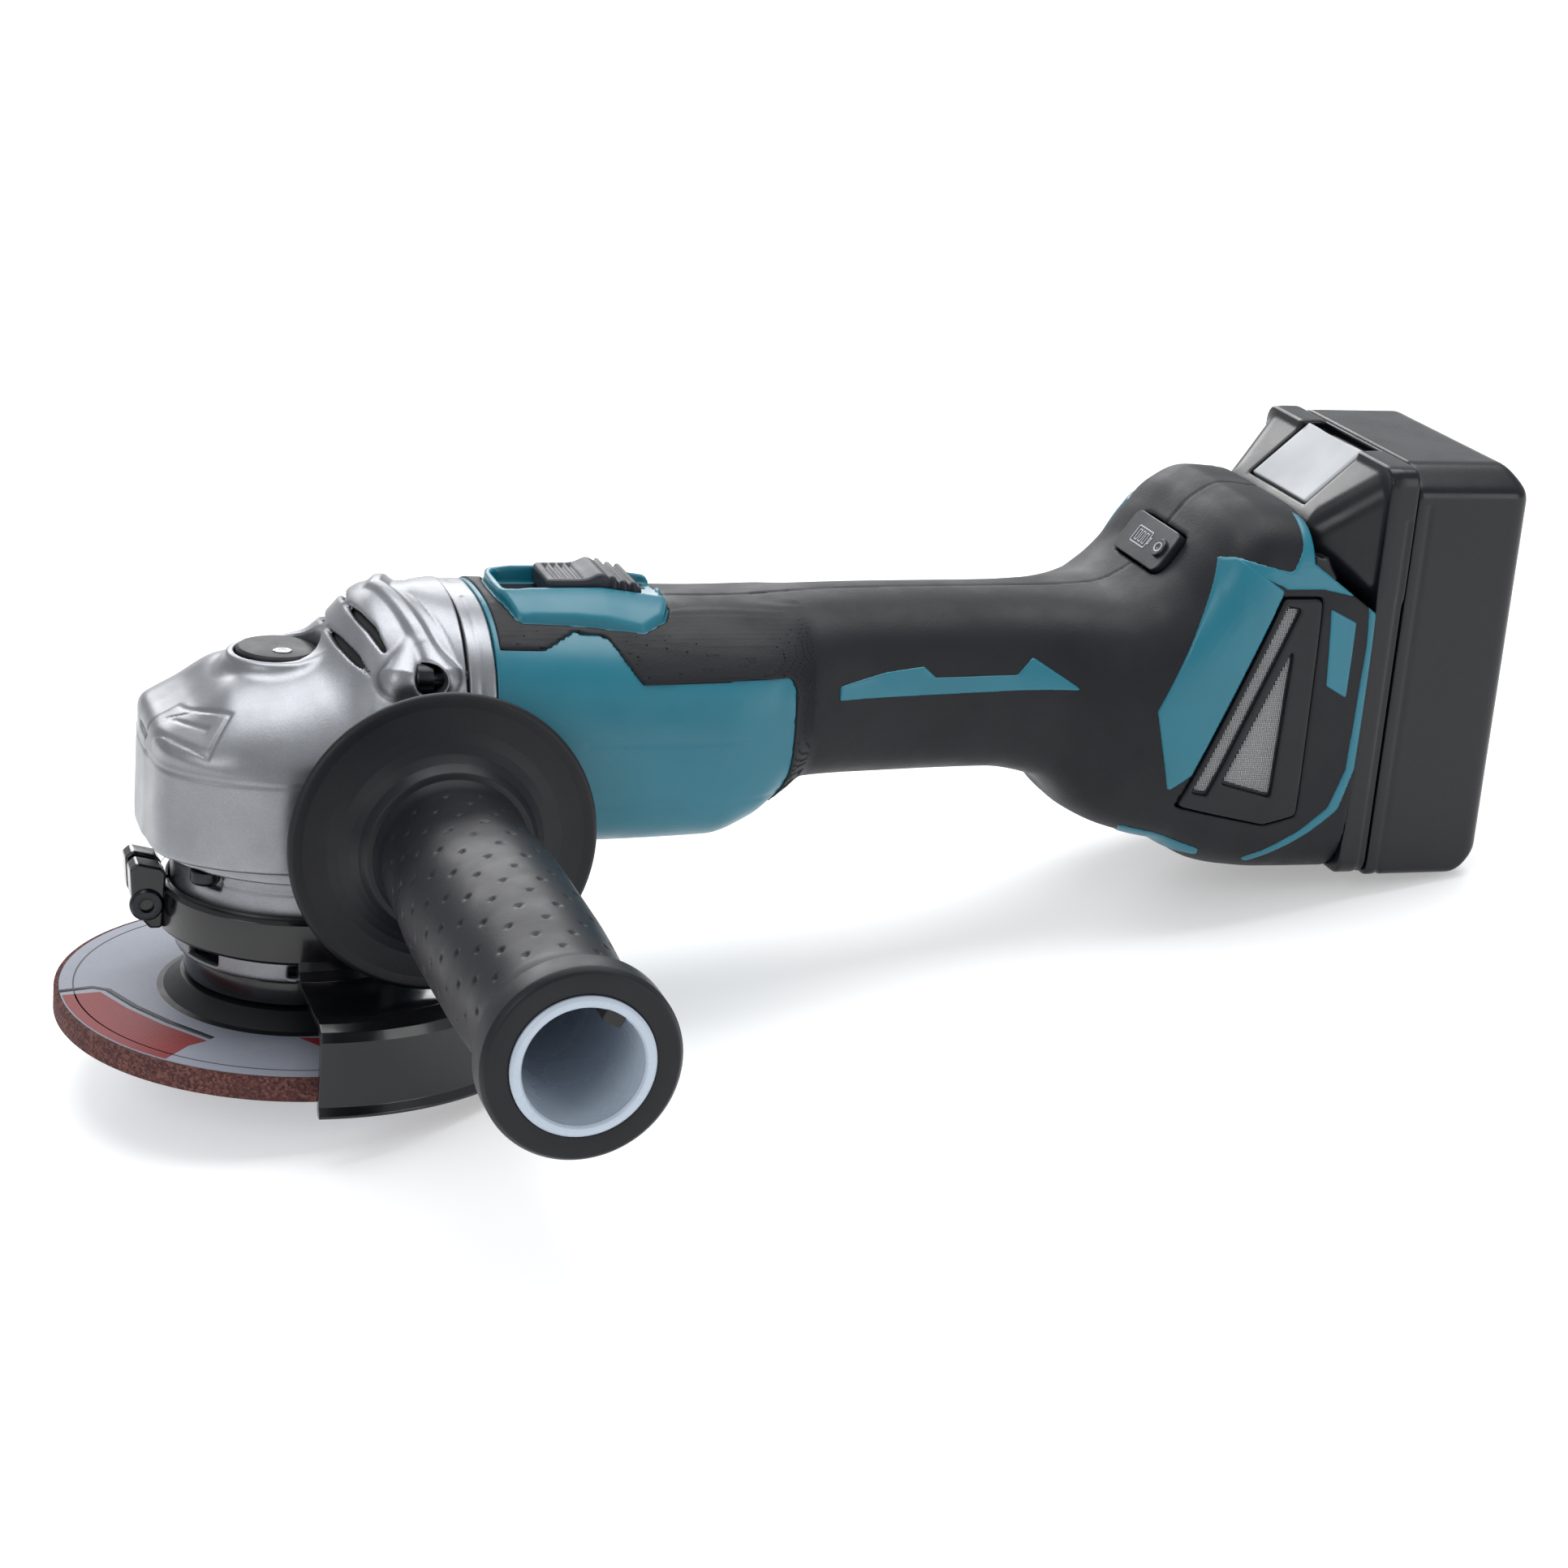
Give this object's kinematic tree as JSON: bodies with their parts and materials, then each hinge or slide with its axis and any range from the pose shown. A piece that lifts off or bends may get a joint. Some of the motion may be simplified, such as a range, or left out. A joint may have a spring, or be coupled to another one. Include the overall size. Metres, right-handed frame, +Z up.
{
  "type": "cordless angle grinder",
  "caption": "Cordless angle grinder with depressed-centre wheel, turnable guard, side handle, sliding switch and slide-on battery; spindle and motor turn together through bevel gears.",
  "frame": {"origin": "centre of the spindle's end face, where the wheel and its nut are fitted", "axes": "+Z up along the spindle away from the work, +X along the body towards the battery, side handle towards -Y"},
  "size_m": [0.3625, 0.2438, 0.1499],
  "materials": {
    "cast_aluminium": "satin cast and bead-blasted",
    "steel": "ground",
    "black_steel": "black oxide",
    "guard_paint": "gloss black paint",
    "teal_plastic": "fine texture with black soft overmould",
    "black_plastic": "fine texture",
    "battery_plastic": "semi-gloss",
    "rubber": "dimpled",
    "white_plastic": "smooth",
    "silver_plastic": "satin",
    "abrasive": "bonded grit, grey label",
    "copper": "lacquered windings",
    "circuit_board": "coated",
    "cell_wrap": "shrink film"
  },
  "bodies": {
    "housing": {"gear_housing": "cast_aluminium", "housing_flange_ring": "cast_aluminium", "bearing_box": "cast_aluminium", "gear_housing_screw_1": "black_steel", "gear_housing_screw_2": "black_steel", "gear_housing_screw_3": "black_steel", "gear_housing_screw_4": "black_steel", "bearing_box_screw_1": "black_steel", "bearing_box_screw_2": "black_steel", "bearing_box_screw_3": "black_steel", "bearing_box_screw_4": "black_steel", "spindle_bearing_lower": "steel", "spindle_bearing_upper": "steel", "shaft_lock_spring": "steel", "motor_stator": "copper", "rotor_bearing_front": "steel", "rotor_bearing_rear": "steel", "housing_left": "teal_plastic", "housing_right": "teal_plastic", "housing_screw_1": "black_steel", "housing_screw_2": "black_steel", "housing_screw_3": "black_steel", "vent_cover_left": "black_plastic", "vent_cover_right": "black_plastic", "indicator_panel": "black_plastic", "switch_unit": "black_plastic", "controller_board": "circuit_board", "terminal_block": "black_plastic"},
    "spindle_set": {"spindle": "steel", "bevel_gear": "steel", "inner_flange": "black_steel", "grinding_wheel": "abrasive", "lock_nut": "black_steel"},
    "rotor": {"rotor_shaft": "steel", "rotor_core": "black_steel", "fan": "black_plastic", "pinion": "steel"},
    "guard": {"wheel_guard": "guard_paint"},
    "guard_clamp": {"guard_clamp_screw": "black_steel"},
    "shaft_lock": {"shaft_lock_button": "black_plastic", "shaft_lock_pin": "steel"},
    "switch": {"slide_switch_knob": "black_plastic", "switch_rod": "black_plastic"},
    "side_handle": {"side_handle_grip": "rubber", "side_handle_core": "white_plastic", "side_handle_stud": "steel"},
    "battery": {"battery_case_front": "battery_plastic", "battery_case_rear": "battery_plastic", "battery_cell_1": "cell_wrap", "battery_cell_2": "cell_wrap", "battery_cell_3": "cell_wrap", "battery_cell_4": "cell_wrap", "battery_cell_5": "cell_wrap", "battery_cell_6": "cell_wrap", "battery_cell_7": "cell_wrap", "battery_cell_8": "cell_wrap", "battery_cell_9": "cell_wrap", "battery_cell_10": "cell_wrap"},
    "battery_latch": {"battery_latch_button": "silver_plastic"},
    "check_key": {"check_button": "black_plastic"}
  },
  "joints": [
    {"name": "spindle_spin", "type": "hinge", "parent": "housing", "child": "spindle_set", "pos_m": [0, 0, 0.04], "axis": [0, 0, 1], "continuous": true},
    {"name": "rotor_spin", "type": "hinge", "parent": "housing", "child": "rotor", "pos_m": [0.07, 0, 0.078], "axis": [1, 0, 0], "continuous": true},
    {"name": "guard_turn", "type": "hinge", "parent": "housing", "child": "guard", "pos_m": [0, 0, 0.03], "axis": [0, 0, 1], "range_deg": [-95, 95]},
    {"name": "guard_clamp_turn", "type": "hinge", "parent": "guard", "child": "guard_clamp", "pos_m": [-0.037, 0, 0.0305], "axis": [0, 1, 0], "range_deg": [0, 360]},
    {"name": "shaft_lock_press", "type": "slide", "parent": "housing", "child": "shaft_lock", "axis": [0, 0, -1], "range_m": [0, 0.0025], "stiffness_N_per_m": 600, "springref_m": -0.001, "deforming": ["shaft_lock_spring"]},
    {"name": "switch_slide", "type": "slide", "parent": "housing", "child": "switch", "axis": [-1, 0, 0], "range_m": [0, 0.008]},
    {"name": "side_handle_unscrew", "type": "slide", "parent": "housing", "child": "side_handle", "axis": [0, -1, 0], "range_m": [0, 0.019]},
    {"name": "battery_slide", "type": "slide", "parent": "housing", "child": "battery", "axis": [0, 0, 1], "range_m": [0, 0.09]},
    {"name": "battery_latch_press", "type": "slide", "parent": "battery", "child": "battery_latch", "axis": [1, 0, 0], "range_m": [0, 0.003], "stiffness_N_per_m": 900, "springref_m": -0.001},
    {"name": "check_button_press", "type": "slide", "parent": "housing", "child": "check_key", "axis": [0.8241, 0, -0.5664], "range_m": [0, 0.0006], "stiffness_N_per_m": 300, "springref_m": -0.0003}
  ],
  "couplings": [
    {"joint": "rotor_spin", "follows": "spindle_spin", "ratio": 3.3}
  ]
}
